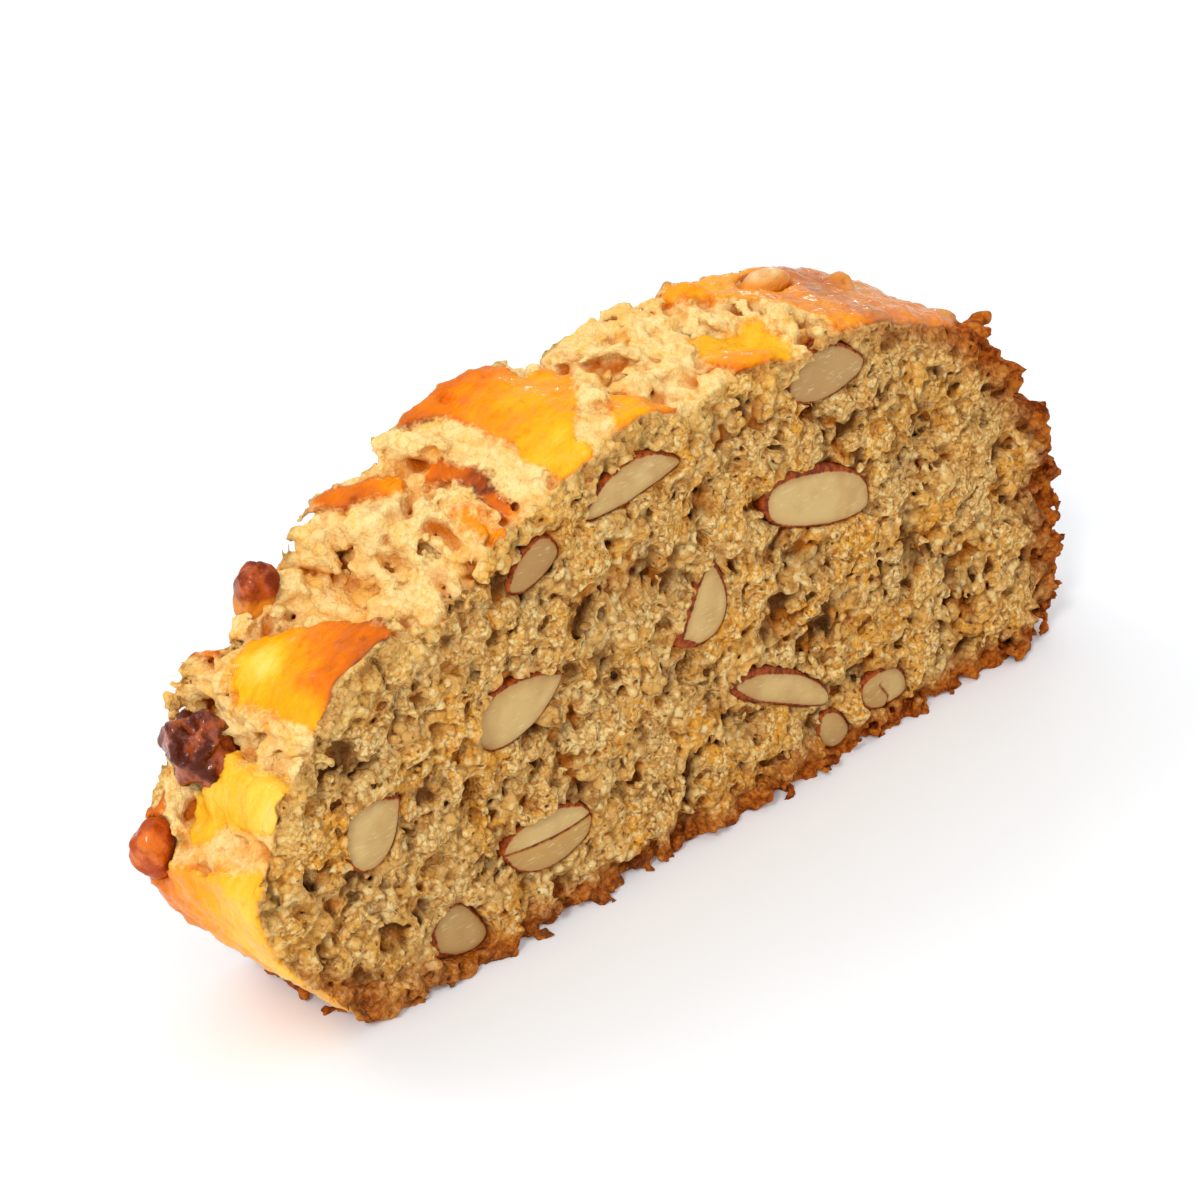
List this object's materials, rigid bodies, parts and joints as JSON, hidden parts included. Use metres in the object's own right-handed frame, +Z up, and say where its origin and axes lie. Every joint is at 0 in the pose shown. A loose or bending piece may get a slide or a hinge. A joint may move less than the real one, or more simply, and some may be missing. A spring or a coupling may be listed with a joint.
{
  "type": "almond biscotti",
  "caption": "Slice of twice-baked almond biscotti: flat base, porous cut faces with cut almonds, and a cracked, glazed crust over the top and ends.",
  "frame": {"origin": "centre of the slice's bounding box on the surface that it stands on", "axes": "+X along the slice towards its steep, rough end; -Y out of the cut face that the picture shows; +Z up to the glazed top"},
  "size_m": [0.106, 0.0158, 0.0464],
  "materials": {
    "biscuit": "porous golden crumb under a browned crust with glossy egg glaze",
    "almond": "cream cut kernel with a thin red-brown skin",
    "toasted_nut": "dark toasted nut with a sugary gloss"
  },
  "bodies": {
    "root": {"biscuit": "biscuit", "almond_near_01": "almond", "almond_near_02": "almond", "almond_near_03": "almond", "almond_near_04": "almond", "almond_near_05": "almond", "almond_near_06": "almond", "almond_near_07": "almond", "almond_near_08": "almond", "almond_near_09": "almond", "almond_near_10": "almond", "almond_near_11": "almond", "almond_near_12": "almond", "almond_far_01": "almond", "almond_far_02": "almond", "almond_far_03": "almond", "almond_far_04": "almond", "almond_far_05": "almond", "almond_far_06": "almond", "almond_far_07": "almond", "almond_far_08": "almond", "almond_far_09": "almond", "toasted_nut_dark": "toasted_nut", "toasted_nut_tip": "toasted_nut", "toasted_nut_glazed": "toasted_nut", "almond_top": "almond"}
  },
  "joints": []
}
